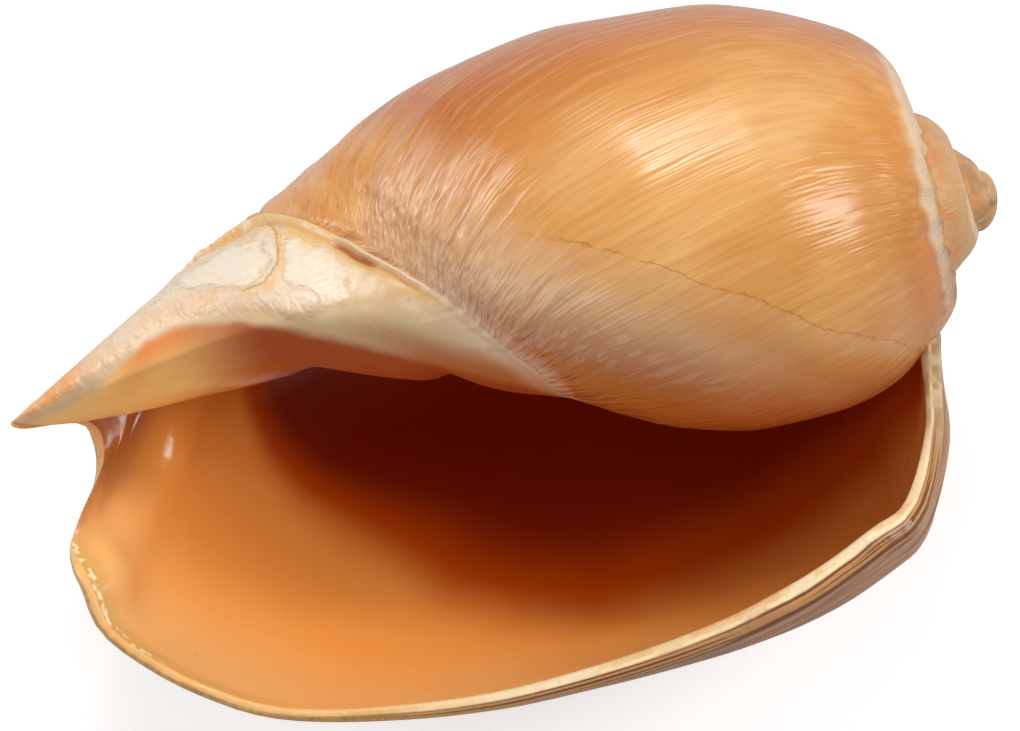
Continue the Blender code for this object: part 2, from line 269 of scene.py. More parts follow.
stations = np.zeros((lipColumn + 1, endRow + 1))
for column in range(lipColumn + 1):
    turns = columnTurns[column]
    foot = footStation(min(turns + 1, 0.0)) + float(sutureWave(turns + 1))
    edge = float(throughPoints(fascioleEdge, max(turns, fascioleEdge[0][0])))
    stations[column] = np.concatenate([
        spreadRows(0, foot, footRow, 1.5),
        foot + 0.5 * np.arange(1, shellGrid["inGap"] + 1) / shellGrid["inGap"],
        spreadRows(foot + 0.5, edge, shellGrid["belowFoot"])[1:]])
outer, _, sizes = outerSurface(columnTurns[:, None], stations)[:3]

# relief along the outward normal, in mm at lip size: growth lines, ridges near the fasciole, suture bead
reliefForm = {"line": 0.045, "ridge": 0.46, "swell": 0.16, "lump": 0.14, "bead": 0.60, "beadWidth": 0.75,
              "lipLine": 0.07, "shoulder": 0.42}


def pathLength(grid):
    # distance along each column from its first row
    step = np.linalg.norm(np.diff(grid, axis=1), axis=-1)
    return np.concatenate([np.zeros((len(grid), 1)), np.cumsum(step, axis=1)], axis=1)


def pathToEnd(grid):
    return pathLength(grid[:, ::-1])[:, ::-1]


outward = sheetNormals(outer)
nearLipRow = (slice(lipColumn - 40, None), 40)
if (outward[nearLipRow] * outer[nearLipRow])[:, 1:].sum() < 0:  # away from the axis
    outward = -outward
turnsDown = columnTurns[:, None]
ages = turnsDown + 0.0008 * lumpyNoise(outer, 5.0, 21)
lines = randomCurve(ages, 190, 11) + 0.6 * randomCurve(ages, 380, 12)
ridges = randomCurve(ages, 105, 13) + 0.5 * randomCurve(ages, 52, 14)
onRidges = ease(stations, 7.5, 9.6) * (0.45 + 0.55 * ease(turnsDown, -0.80, -0.66))
nearLipOutside = ease(turnsDown, -0.20, -0.02)
relief = reliefForm["line"] * lines + reliefForm["ridge"] * ridges * onRidges
relief = relief + reliefForm["lipLine"] * nearLipOutside * (lines + ridges)
shoulderWave = np.sin(2 * np.pi * (25 * ages + 0.9 * randomCurve(ages, 7, 17)))
shoulderWave = shoulderWave * (1 + 0.6 * randomCurve(ages, 11, 18)) * ease(ages, -2.0, -0.9)
relief = relief + reliefForm["shoulder"] * shoulderWave * bell(stations, 1.9, 0.8)
relief = relief + reliefForm["swell"] * randomCurve(ages, 13, 15)
relief = relief + reliefForm["lump"] * lumpyNoise(outer, 13.0, 22)
fromSuture = pathLength(outer)
bead = reliefForm["bead"] * bell(fromSuture / np.maximum(sizes, 0.2), 1.0, reliefForm["beadWidth"])
bead = bead * (0.75 + 0.35 * randomCurve(turnsDown, 60, 16)) * (1 - ease(turnsDown, -0.14, -0.03))
outer = outer + outward * ((relief + bead) * sizes * ease(fromSuture, 0.0, 0.8))[..., None]
edgeRelief = (outward * (relief * sizes)[..., None])[:, endRow]
for whorl in (1, 2):  # each whorl's first rows follow the place where they stand on the one before
    mine = slice(whorl * perWhorl + (whorl > 1), (whorl + 1) * perWhorl + 1)
    seat = outer[(whorl - 1) * perWhorl + (whorl > 1):whorl * perWhorl + 1, footRow]
    shift = seat - outer[mine, 0]
    far = distance(outer[mine], outer[mine, :1])
    reachOfShift = 4.0 * sizes[mine, :1]
    outer[mine, :footRow] += shift[:, None] * bell(far, 0, reachOfShift)[:, :footRow, None]
    outer[mine, 0] = seat

# lining of the last whorls: the outside moved in by the wall
liningColumns = np.arange(hollowColumn, lipColumn + 1)[isOldColumn[hollowColumn:]]
liningTurns = columnTurns[liningColumns][:, None]
lipRows = stations[lipColumn]
skin, skinAngle, skinSize, skinAlong, skinFrom = outerSurface(liningTurns, lipRows)
growing = skin - outerSurface(liningTurns - 0.01, lipRows)[0]
crossing = (outerSurface(liningTurns, np.clip(lipRows + 0.05, 0, lastStation))[0]
            - outerSurface(liningTurns, np.clip(lipRows - 0.05, 0, lastStation))[0])
facing = unit(np.cross(growing, crossing))
middle = endRow // 2
facing[(facing[:, middle, 1:] * skin[:, middle, 1:]).sum(-1) > 0] *= -1  # toward the axis
nearLip = ease(liningTurns, -0.3, 0.0)
wall = followTable(shellForm["lipWall"], lipRows) * nearLip + (1 - nearLip) * shellForm["oldWall"]
wall = wall * skinSize
margin = distance(skin, skin[-1])
roll = 1.1 * bell(margin, 6.0, 4.4) * ease(lipRows, 9.4, 10.8)[None] * (liningTurns > -0.3)
roll = roll * (1 - ease(lipRows, 13.2, 14.2))[None]
lining = skin + facing * (wall + roll)[..., None]
# soft swellings of the lining beside the canal: along and down in mm, their reach both ways, height
liningSwellings = [(136.6, 34.4, 3.4, 5.2, 1.8), (131.3, 23.1, 2.2, 5.0, 0.85),
                   (134.8, 23.3, 1.8, 4.5, 0.60), (125.6, 15.5, 3.0, 9.0, 1.1),
                   (110.0, 46.0, 9.0, 4.0, 0.35)]
for along, down, reachAlong, reachDown, rise in liningSwellings:
    swelling = rise * bell(-lining[..., 0], along, reachAlong) * bell(-lining[..., 1], down, reachDown)
    swelling = swelling * (liningTurns > -0.3) * ease(margin, 0.0, 2.5)
    lining = lining + facing * swelling[..., None]
end = ease(liningTurns[:, 0], -0.12, 0.0)
corner = placeRound(skinAngle[:, -1],
                    (1 - end) * shellForm["canalCorner"][0] * skinSize[:, -1] + end * skinAlong[:, -1],
                    (1 - end) * shellForm["canalCorner"][1] * skinSize[:, -1] + end * skinFrom[:, -1])
pull = ease(lipRows, lastStation - 2.2, lastStation)[None, :, None]
lining = (1 - pull) * lining + pull * corner[:, None]
lining[:, -1] = corner
lining[:, 0] = outer[liningColumns - perWhorl, gapRow]
tip = outer[lipColumn, endRow].copy()
lining[-1, -1] = tip

# the columella: from the old canal's trail to the new canal, and past the lip a fan to the tip
columellaForm = {"waist": 2.1, "crown": 7.7, "plaitHeight": 0.022}
oldStart = hollowColumn - perWhorl
columellaColumns = np.arange(oldStart, lipColumn + 1)
columellaColumns = columellaColumns[isOldColumn[oldStart:] | (columellaColumns >= backOneWhorl)]
across = (np.arange(shellGrid["onColumella"] + 1) / shellGrid["onColumella"]) ** 1.5
columella = np.zeros((len(columellaColumns), len(across), 3))
towardFace = np.array([0.0, 0.0, 1.0])
upward = np.array([0.0, 1.0, 0.0])
arch = throughPoints(columellaArch, across)[:, None]
lobes = throughPoints(plaitLobes, across)[:, None]
v = across[:, None]
for number, column in enumerate(columellaColumns):
    start = outer[column, endRow]
    past = columnTurns[column] + 1
    if past > 0:
        end = tip
    else:
        end = lining[np.searchsorted(liningColumns, column + perWhorl), endRow]
    length = np.linalg.norm(end - start)
    angle = math.atan2(start[2], -start[1])
    inwardRay = -np.array([0.0, -math.cos(angle), math.sin(angle)])
    waist = np.sin(np.pi * v ** 0.72)
    line = start * (1 - v) + end * v
    line = line - edgeRelief[column] * (1 - math.exp(-length / 1.5)) * ((1 - v) - np.exp(-v * length / 0.8))
    if past > 0:
        crown = columellaForm["crown"] * math.sin(math.pi * min(past, 1)) ** 1.1
        turn = float(ease(past, 0.0, 0.15))
        lift = arch * (1 - float(ease(past, 0.24, 0.55))) + lobes * (1 - float(ease(past, 0.12, 0.26)))
        line = line + towardFace * crown * np.sin(np.pi * v)
        line = line + (inwardRay * (1 - turn) + upward * turn) * lift
    else:
        deep = float(ease(-past, 0.0, 0.3))
        lift = (arch + lobes) * (1 - deep) + columellaForm["waist"] * waist * deep
        line = line + inwardRay * lift * (length / 80.0)
        plaits = bell(v, 0.31, 0.06) + 0.9 * bell(v, 0.55, 0.07)
        line = line - inwardRay * columellaForm["plaitHeight"] * length * deep * plaits
    columella[number] = line
    columella[number, 0] = start
    columella[number, -1] = end


def insideOutline(points, outline):
    # distance in mm to an outline drawn on the front in (along, down), more than zero inside it
    along, down = -points[..., 0], -points[..., 1]
    line = np.array(outline, float)
    nearest = np.full(along.shape, 1e9)
    inside = np.zeros(along.shape, bool)
    for (ax, ay), (bx, by) in zip(line, np.roll(line, -1, 0)):
        wide, tall = bx - ax, by - ay
        share = ((along - ax) * wide + (down - ay) * tall) / max(wide ** 2 + tall ** 2, 1e-6)
        share = np.clip(share, 0, 1)
        gap = np.hypot(along - ax - share * wide, down - ay - share * tall)
        nearest = np.minimum(nearest, gap)
        if tall != 0:
            inside ^= ((ay > down) != (by > down)) & (along < wide * (down - ay) / tall + ax)
    return np.where(inside, nearest, -nearest)


def fromPlace(points, place):
    # how far along and how far down from a place drawn on the front
    return -points[..., 0] - place[0], -points[..., 1] - place[1]


def belowLine(points, line):
    # distance in mm below a line drawn on the front from left to right along the shell
    line = np.array(line, float)
    order = np.argsort(line[:, 0])
    return -points[..., 1] - np.interp(-points[..., 0], line[order, 0], line[order, 1])


# the worn end of the fasciole and what shows on it, drawn in (along, down) mm on the front
wornForm = {
    "worn": [(110.2, -16.5), (106.6, -14.5), (101.2, -12.3), (97.2, -9.2), (95, -5.6), (95.1, -2.6),
             (96.3, 0), (99.4, 0.1), (101.6, 1.7), (104.9, 1.5), (108.9, 0), (112.2, 0.3), (115.8, -0.9),
             (119.5, -0.9), (124.1, -0.5), (127.2, 0.9), (130.8, 3.5), (134.9, 5.8), (140.4, 7.3),
             (146, 9.4), (150, 9), (146, 4), (139.7, -1), (131.7, -6), (121.1, -12),
             (114.1, -15.5)],
    "leftPatch": [(121, -7), (117.8, -8.6), (113.8, -10.6), (109.9, -11.8), (107, -10.4),
                  (106.6, -7.8), (108.4, -5.6), (110, -4.6), (113.2, -4.9), (117, -5.4)],
    "rightPatch": [(103.6, -10.6), (99.8, -9.4), (96.6, -6.6), (95.6, -3.8), (96.3, -0.9), (99.4, -0.3),
                   (101, -2.4), (103.4, -3.2), (104.6, -6.2), (104.6, -8.8)],
    "arcMiddle": (111.0, -10.3), "arcRadius": 6.1,
    "roll": [(148, 11), (145.2, 9.8), (138.8, 7.7), (135.9, 6.4), (131.5, 4.1), (127.2, 0.9),
             (124.6, -0.1), (120.7, -1), (112.3, -0.1), (97.9, 5.1), (91, 8.2), (85.5, 10.8),
             (78.5, 14.1), (67.4, 19.3), (55, 25), (30, 36)],
    "patchDepth": 0.09, "crackDepth": 0.20, "crackWidth": 0.30, "roughLumps": 0.15, "wrinkles": 0.17,
    "fineLumps": 0.06, "ringHeight": 0.06, "ringWidth": 0.85, "ringMiddle": (101.3, -10.8),
    "cord": 0.26, "ledge": 0.22, "ledgeStep": 1.1, "pitDepth": 1.1, "tipBuild": 0.9,
}
past = columnTurns[columellaColumns][:, None] + 1
fromRidge = pathLength(columella)
toTip = distance(columella, tip)
raised = sheetNormals(columella)
if raised[past[:, 0] > 0.4, 10:30, 2].sum() < 0:
    raised = -raised
facesOut = ease(columella[..., 2], -4.0, 3.0) * ease(past, 0.12, 0.26)
wornDepth = np.where(past > 0, insideOutline(columella, wornForm["worn"]), -50.0)
onWorn = ease(wornDepth, -1.2, 2.2) * facesOut
onRidgeLine = ease(past, 0.37, 0.49) * (1 - ease(past, 0.80, 0.90))
ledge = wornForm["ledge"] + wornForm["ledgeStep"] * bell(past, 0.735, 0.035)
cord = wornForm["cord"] * (1 + 0.6 * lumpyNoise(columella, 3.0, 35))
height = cord * bell(fromRidge, 0.45, 0.38) - 0.22 * bell(fromRidge, 1.7, 0.65)
height = height - ledge * (1 - bell(fromRidge, 0, 1.3)) * bell(fromRidge, 0, 9.0)
pit = ease(past, 0.480, 0.492) * (1 - ease(past, 0.530, 0.548))
pit = pit * bell(fromRidge, 1.45, 0.55)
height = onRidgeLine * height - wornForm["pitDepth"] * pit
leaning = columella * 0.30
leaning[..., 0] = columella[..., 0] + 0.35 * columella[..., 1]
lumps = lumpyNoise(columella, 2.6, 31) * wornForm["roughLumps"]
lumps = lumps + lumpyNoise(leaning, 1.3, 32) * wornForm["wrinkles"]
lumps = lumps + lumpyNoise(columella, 0.8, 36) * wornForm["fineLumps"]
lumps = lumps * ease(-belowLine(columella, wornForm["roll"]), -0.5, 2.2)
inRightPatch = insideOutline(columella, wornForm["rightPatch"])
patchShape = np.maximum(insideOutline(columella, wornForm["leftPatch"]), inRightPatch)
patchShape = patchShape + 0.9 * lumpyNoise(columella, 1.9, 33) + 0.5 * lumpyNoise(columella, 0.8, 34)
arcX, arcY = fromPlace(columella, wornForm["arcMiddle"])
toArc = np.hypot(arcX, arcY) - wornForm["arcRadius"] + 0.25 * lumpyNoise(columella, 2.5, 37)
onArc = ease(-arcX, -1.2, 0.8) * ease(arcY, -5.5, -3.5) * facesOut
ringGap = np.hypot(*fromPlace(columella, wornForm["ringMiddle"])) + 0.5 * lumpyNoise(columella, 4.0, 38)
rings = wornForm["ringHeight"] * np.sin(2 * np.pi * ringGap / wornForm["ringWidth"])
rings = rings * ease(inRightPatch, 0.0, 1.0) * ease(ringGap, 2.0, 3.5)
height = height + onWorn * (lumps + rings - wornForm["patchDepth"] * ease(patchShape, -0.1, 0.4))
height = height - onArc * wornForm["crackDepth"] * bell(toArc, 0, wornForm["crackWidth"])
height = height + wornForm["tipBuild"] * bell(toTip, 0, 4.5) * facesOut
height = height * ease(fromRidge, 0.0, 0.25) * ease(toTip, 0.0, 1.5) * ease(pathToEnd(columella), 0.0, 2.0)
columella = columella + raised * height[..., None]

# toward the aperture's inner end the fasciole's edge melts into the glaze
meltForm = {"rows": 14, "passes": 36}
newer = columellaColumns >= backOneWhorl
rows = meltForm["rows"]
edgeStrip = np.concatenate([outer[columellaColumns[newer], endRow - rows:endRow],
                            columella[newer, :rows + 1]], axis=1)
melted = edgeStrip.copy()
for smoothing in range(meltForm["passes"]):
    melted[:, 1:-1] = 0.25 * melted[:, :-2] + 0.5 * melted[:, 1:-1] + 0.25 * melted[:, 2:]
over = unit(edgeStrip[:, -1] - edgeStrip[:, 0])[:, None]
moved = melted - edgeStrip
moved = moved - (moved * over).sum(-1, keepdims=True) * over
melting = ease(past[newer], 0.02, 0.14) * (1 - ease(past[newer], 0.34, 0.47))
melting = melting * (1 - ease(np.abs(np.arange(2 * rows + 1) - rows) / rows, 0.35, 1.0))[None]
edgeStrip = edgeStrip + moved * melting[..., None]
outer[columellaColumns[newer], endRow - rows:endRow + 1] = edgeStrip[:, :rows + 1]
columella[newer, :rows + 1] = edgeStrip[:, rows:]

# what the finish needs to know about each place, in mm unless said
glazeLine = [(78, -9.5), (70.7, -5.7), (65, -4), (57.9, -1.3), (52.4, 1.4), (44.2, 6.2), (37.2, 9.7),
             (33.1, 11.9), (27.8, 15.8), (22.4, 17.9), (18.3, 19), (16.4, 19.8), (14, 21.2)]
# outline on the front of the painted shade deep in the hollow
cavityShadeEdge = [(113.5, -15), (113, 12), (111, 20), (107, 27), (98, 35), (88, 43),
              (78.9, 48), (67.1, 50), (51.7, 48), (35.9, 43), (22.7, 36), (14, 28),
              (0, -15)]
farAway = 60.0  # stands for a distance that is too long to matter


def growthLength(turns):
    return np.exp(growthRate * 2 * math.pi * turns) * shellForm["growthRadius"] / growthRate


onFront = (turnsDown > -1.25) & (turnsDown < -0.45) & (outer[..., 2] > -6)
fromLip = distance(outer, outer[lipColumn])
fromFoot = np.abs(fromSuture - fromSuture[:, footRow:footRow + 1])
fromEdge = np.abs(fromSuture - fromSuture[:, endRow:endRow + 1])
outerMeasures = {
    "growth": growthLength(ages),
    "suture": fromSuture / np.maximum(sizes, 0.25),
    "foot": np.where(turnsDown < -0.999, fromFoot, farAway),
    "glazed": np.where(onFront, belowLine(outer, glazeLine), -farAway),
    "rim": np.where(turnsDown > -0.4, fromLip, np.minimum(fromLip, farAway)),
    "ridge": np.where(turnsDown > -1, fromEdge, farAway),
}
columellaMeasures = {
    "growth": growthLength(columnTurns[columellaColumns][:, None]),
    "worn": wornDepth, "patch": patchShape, "arc": toArc, "onArc": onArc, "tip": toTip,
    "ridge": np.where(past > 0.1, fromRidge, farAway),
    "roll": np.where(past > 0, belowLine(columella, wornForm["roll"]), farAway / 2),
    "rim": pathToEnd(columella),
}
# how far into the hollow's painted shade the lining lies: deeper down, away from the canal end, and inside
# an outline drawn on the front
spreading = 9.0 * ease(-lining[..., 1], 14.0, 40.0)
inCavityShade = ease(insideOutline(lining, cavityShadeEdge), -6.0 - spreading, 5.0 + 1.3 * spreading)
liningMeasures = {
    "growth": growthLength(liningTurns),
    "deep": ease(-lining[..., 2], 4.0, 14.0) * ease(-lining[..., 0], 145.0, 105.0) * inCavityShade,
    "rim": np.where(liningTurns > -0.5, distance(lining, lining[-1]), farAway),
}

# the lip's rounded rim
rimForm = {"roundness": 0.34, "uneven": 0.75}
rimSteps = np.arange(shellGrid["onRim"] + 1) / shellGrid["onRim"]
forward = unit(outer[lipColumn] - outerSurface(columnTurns[lipColumn] - 0.01, lipRows)[0])
wide = distance(lining[-1], outer[lipColumn])[:, None, None]
share = ((1 - np.cos(np.pi * rimSteps)) / 2)[None, :, None]
rim = outer[lipColumn][:, None] * (1 - share) + lining[-1][:, None] * share
uneven = 0.7 * lumpyNoise(rim, 2.8, 41) + 0.5 * lumpyNoise(rim, 6.5, 42)
uneven = uneven * (ease(lipRows, 0.5, 1.5) * (1 - ease(lipRows, 11.8, 12.8)))[:, None]
uneven = 1 + rimForm["uneven"] * uneven[..., None]
bulge = 2 * rimForm["roundness"] * np.sqrt(np.clip(share * (1 - share), 0, 1))
rim = rim + forward[:, None] * bulge * wide * uneven
rim[:, 0] = outer[lipColumn]
rim[:, -1] = lining[-1]
print("whorls laid out")

# one list of corners and faces; sheets meet at doubles that are merged afterwards
sheetCorners = []
sheetValues = []
faces = []
plainValues = {"grown": -3.0, "station": 0.0, "kind": 0.0, "growth": 40.0, "suture": farAway,
               "foot": farAway, "glazed": -farAway, "rim": farAway, "worn": -50.0, "patch": -50.0,
               "arc": farAway, "onArc": 0.0, "ridge": farAway, "roll": -50.0, "tip": 150.0, "deep": 0.0}


def addSheet(grid, **values):
    # keeps the grid's corners, with the values each one carries for the finish
    base = sum(len(c) for c in sheetCorners)
    flat = grid.reshape(-1, 3)
    sheetCorners.append(flat)
    sheetValues.append({name: np.broadcast_to(values.get(name, plain), grid.shape[:-1]).reshape(-1)
                        for name, plain in plainValues.items()})
    return base + np.arange(len(flat)).reshape(grid.shape[:-1])


def addStrip(ids, flip=False):
    a, b, c, d = ids[:-1, :-1], ids[1:, :-1], ids[1:, 1:], ids[:-1, 1:]
    quads = np.stack([a, d, c, b] if flip else [a, b, c, d], -1).reshape(-1, 4)
    faces.extend(quads.tolist())


outerIds = addSheet(outer, grown=turnsDown, station=stations, **outerMeasures)
oldColumns = np.arange(lipColumn + 1)[isOldColumn]
spireColumns = oldColumns[(oldColumns >= firstColumn) & (oldColumns <= backOneWhorl)]
earlySpire = spireColumns[spireColumns <= backOneWhorl - perWhorl]
addStrip(outerIds[earlySpire][:, :footRow + 1])
lateSpire = spireColumns[spireColumns >= backOneWhorl - perWhorl]
addStrip(outerIds[lateSpire][:, :footRow])
for here, there in zip(lateSpire[:-1], lateSpire[1:]):  # its last row meets the body whorl's closer columns
    foot = outerIds[here:there + 1, footRow][::-1].tolist()
    faces.append(outerIds[[here, there], footRow - 1].tolist() + foot)
belowColumns = oldColumns[(oldColumns >= oldStart) & (oldColumns <= backOneWhorl)]
addStrip(outerIds[belowColumns][:, gapRow:])
addStrip(outerIds[backOneWhorl:])
liningIds = addSheet(lining, grown=liningTurns, station=lipRows[None], kind=1.0, **liningMeasures)
addStrip(liningIds, flip=True)
columellaIds = addSheet(columella, grown=past - 1, station=across[None], kind=2.0, **columellaMeasures)
addStrip(columellaIds)
rimIds = addSheet(rim, grown=share[..., 0], station=lipRows[:, None], kind=3.0, rim=0.0,
                  growth=growthLength(0.0))
addStrip(rimIds, flip=True)
# the lip's foot closes on the body whorl, between the older wall's outside and lining rows
footLine = outerIds[backOneWhorl, footRow:gapRow + 1].tolist()
faces.append(footLine + rimIds[0, shellGrid["onRim"] - 1:0:-1].tolist())
# blind end of the hollow
ring = liningIds[0].tolist() + columellaIds[0, len(across) - 2:0:-1].tolist()
ring += outerIds[oldStart, endRow:gapRow:-1].tolist()
middlePoint = np.concatenate(sheetCorners)[ring].mean(0)
middleId = int(addSheet(middlePoint[None, None], station=8.0, kind=1.0, deep=1.0)[0, 0])
for first, second in zip(ring, ring[1:] + ring[:1]):
    faces.append([first, middleId, second])
# the blunt first whorl is a dome
ringColumns = oldColumns[(oldColumns >= firstColumn) & (oldColumns <= firstColumn + perWhorl)]
ring = np.concatenate([outer[ringColumns, 0], outer[firstColumn, footRow - 1:0:-1]])
levels = np.array([0, 0.15, 0.3, 0.45, 0.6, 0.72, 0.84, 0.93])[:, None]
dome = np.repeat(ring[None], len(levels), 0)
dome[..., 1:] *= np.cos(levels * np.pi / 2)[..., None]
dome[..., 0] += (shellForm["apexTop"] - ring[None, :, 0]) * np.sin(levels * np.pi / 2)
dome = np.concatenate([dome, dome[:, :1]], 1)
domeIds = addSheet(dome)
addStrip(domeIds)
pole = int(addSheet(np.array([[[shellForm["apexTop"], 0.0, 0.0]]]))[0, 0])
for first, second in zip(domeIds[-1, :-1].tolist(), domeIds[-1, 1:].tolist()):
    faces.append([first, second, pole])

corners = np.concatenate(sheetCorners) / 1000
shellMesh = bpy.data.meshes.new("shellGlaze")
used = np.unique(np.concatenate(faces))
renumber = np.zeros(len(corners), int)
renumber[used] = np.arange(len(used))
shellMesh.from_pydata(corners[used].tolist(), [], [renumber[face].tolist() for face in faces])
shellMesh.update()
cornerOf = np.empty(len(shellMesh.loops), np.int32)
shellMesh.loops.foreach_get("vertex_index", cornerOf)
for name in sheetValues[0]:
    values = np.concatenate([s[name] for s in sheetValues])[used][cornerOf]
    shellMesh.attributes.new(name, "FLOAT", "CORNER").data.foreach_set("value", values.astype(np.float32))

for thing in bpy.context.selected_objects:
    thing.select_set(False)
shellPiece = bpy.data.objects.new("shellGlaze", shellMesh)
bpy.context.scene.collection.objects.link(shellPiece)
bpy.context.view_layer.objects.active = shellPiece
shellPiece.select_set(True)
bpy.ops.object.mode_set(mode="EDIT")
bpy.ops.mesh.select_all(action="SELECT")
bpy.ops.mesh.remove_doubles(threshold=1e-6)
bpy.ops.mesh.dissolve_degenerate(threshold=1e-6)
bpy.ops.mesh.select_all(action="SELECT")
bpy.ops.mesh.normals_make_consistent(inside=False)
bpy.ops.object.mode_set(mode="OBJECT")
bpy.ops.object.shade_smooth()

# laid down as the CAD shell lies, and kept inside its box
restMatrix = Euler([math.radians(a) for a in shellForm["restTurn"]]).to_matrix()
shellMesh.transform(restMatrix.to_4x4())
places = np.empty(len(shellMesh.vertices) * 3)
shellMesh.vertices.foreach_get("co", places)
places = places.reshape(-1, 3)
low, high = places.min(0), places.max(0)
shrink = min(1.0, float(((np.array(highCorner) - np.array(lowCorner)) / (high - low)).min()))
places = (places - (low + high) / 2) * shrink
middleOfBox = (np.array(highCorner) + np.array(lowCorner)) / 2
middleOfBox[2] = lowCorner[2] - places[:, 2].min()
places += middleOfBox
shellMesh.vertices.foreach_set("co", places.ravel())
shellMesh.update()
print("shell meshed", len(shellMesh.vertices), "corners, kept at", round(shrink, 5))

# finish: one material that reads the measures above
shellTones = {
    # body whorl, its glaze and the outside of the lip
    "tan": (228, 168, 98), "honey": (221, 155, 82), "streak": (190, 112, 52), "pale": (236, 192, 138),
    "pink": (228, 184, 152), "topTan": (180, 86, 8), "lowHoney": (184, 110, 44),
    "ridgeLine": (168, 100, 52), "glaze": (214, 166, 124), "glazeLow": (176, 94, 34),
    "edgeLine": (158, 96, 44), "frost": (228, 198, 174), "cream": (240, 224, 198),
    "blotch": (210, 128, 58), "outside": (198, 142, 92), "growthBrown": (98, 50, 22),
    # early whorls
    "spire": (202, 156, 102), "spireGreen": (190, 158, 106), "spirePink": (208, 160, 118),
    "spireDark": (150, 104, 62),
    # fasciole and callus
    "worn": (238, 216, 190), "wornTan": (238, 202, 164), "wornGap": (206, 164, 122),
    "patch": (238, 224, 202), "olive": (196, 150, 72), "underRidge": (232, 180, 100),
    "slit": (176, 92, 34), "tipOlive": (240, 152, 60), "oldGold": (206, 158, 84),
    "callus": (222, 194, 144), "callusLowAndShade": (204, 158, 114), "callusPale": (240, 222, 190),
    "callusGrey": (206, 188, 152), "speck": (150, 140, 128),
    # roll and lining
    "roll": (255, 200, 120), "rollGlow": (224, 112, 14), "rollTan": (188, 128, 80),
    "rollDeep": (166, 70, 8), "nearRim": (246, 182, 110), "inner": (251, 161, 74),
    "innerRed": (198, 78, 8), "cavity": (136, 34, 4), "canalBrown": (178, 92, 36),
    "innerSpeck": (140, 84, 44),
    # rim
    "rimCream": (240, 214, 172), "rimTan": (220, 164, 92), "rimBrown": (184, 136, 82),
    "rimInner": (252, 226, 180), "rimOlive": (204, 152, 84), "rimBack": (168, 138, 98),
}
shellFinish = bpy.data.materials.new("shellGlaze")
shellFinish.use_nodes = True
tree = shellFinish.node_tree
shader = tree.nodes["Principled BSDF"]


def tone(name):
    # a tone written as 0-255 values, as the linear colour a node wants
    parts = [c / 255 for c in shellTones[name]]
    return tuple(c / 12.92 if c <= 0.04045 else ((c + 0.055) / 1.055) ** 2.4 for c in parts) + (1.0,)


def plug(socket, value):
    # the value is another node's output, a tone's name or a plain number
    if isinstance(value, bpy.types.NodeSocket):
        tree.links.new(value, socket)
    else:
        socket.default_value = tone(value) if isinstance(value, str) else value


def addNode(kind, *values, **settings):
    # a node with its settings made and its first inputs plugged
    node = tree.nodes.new("ShaderNode" + kind)
    for name, setting in settings.items():
        setattr(node, name, setting)
    for socket, value in zip(node.inputs, values):
        plug(socket, value)
    return node.outputs


def sums(operation, *values):
    return addNode("Math", *values, operation=operation)[0]


def times(*factors):
    return functools.reduce(functools.partial(sums, "MULTIPLY"), factors)


def plus(*terms):
    return functools.reduce(functools.partial(sums, "ADD"), terms)


def swing(noise, reach):
    # a noise brought down to wander round zero
    return times(plus(noise, -0.5), reach)


def spread(value, start, end, low=0.0, high=1.0):
    # smooth step from low to high while the value goes from start to end
    return addNode("MapRange", value, start, end, low, high, interpolation_type="SMOOTHSTEP")[0]


def lineAt(value, width):
    # one on the line where the value is zero, down to zero at the width
    return spread(sums("ABSOLUTE", value), width, 0.0)


def join(x, y, z=0.0):
    return addNode("CombineXYZ", x, y, z)[0]


def noiseAt(vector, cell, detail=2.0, roughness=0.5, dimensions="3D"):
    # random cloud with cells of about the given size, 0 to 1
    values = (vector, 0.0, 1.0 / cell, detail, roughness)
    return addNode("TexNoise", *values, noise_dimensions=dimensions)["Fac"]


def lineNoise(along, drawnOut, cell, detail=1.0, roughness=0.5):
    # noise in lines that follow the growing lip: their length comes from the stations
    return noiseAt(join(along, times(station, drawnOut)), cell, detail, roughness, "2D")


def blend(share, first, second):
    node = tree.nodes.new("ShaderNodeMix")
    node.data_type = "RGBA"
    for number, value in ((0, share), (6, first), (7, second)):
        plug(node.inputs[number], value)
    return node.outputs[2]


def layers(under, *coats):
    # each coat is a tone and the shares that say together how strongly it shows
    for coat, *shares in coats:
        under = blend(times(*shares), under, coat)
    return under


def mixed(share, first, second):
    # for plain numbers, as blend is for tones
    node = tree.nodes.new("ShaderNodeMix")
    for number, value in ((0, share), (2, first), (3, second)):
        plug(node.inputs[number], value)
    return node.outputs[0]


place = addNode("TexCoord")["Object"]
known = {name: addNode("Attribute", attribute_name=name)["Fac"] for name in plainValues}
growth, station, kind, grown = known["growth"], known["station"], known["kind"], known["grown"]
isLining = sums("COMPARE", kind, 1.0, 0.4)
isColumella = sums("COMPARE", kind, 2.0, 0.4)
isRim = sums("COMPARE", kind, 3.0, 0.4)
fineLine = lineNoise(growth, 0.9, 0.55, 0.0)
threadLine = lineNoise(growth, 1.6, 1.4, 1.0)
streakLine = lineNoise(growth, 2.4, 4.5, 2.0, 0.6)
broadLine = lineNoise(growth, 7.0, 17.0, 0.0)
cloud = noiseAt(place, 0.022, 1.0)
mottle = noiseAt(place, 0.0042, 2.0, 0.6)
grain = noiseAt(place, 0.0010, 0.0)

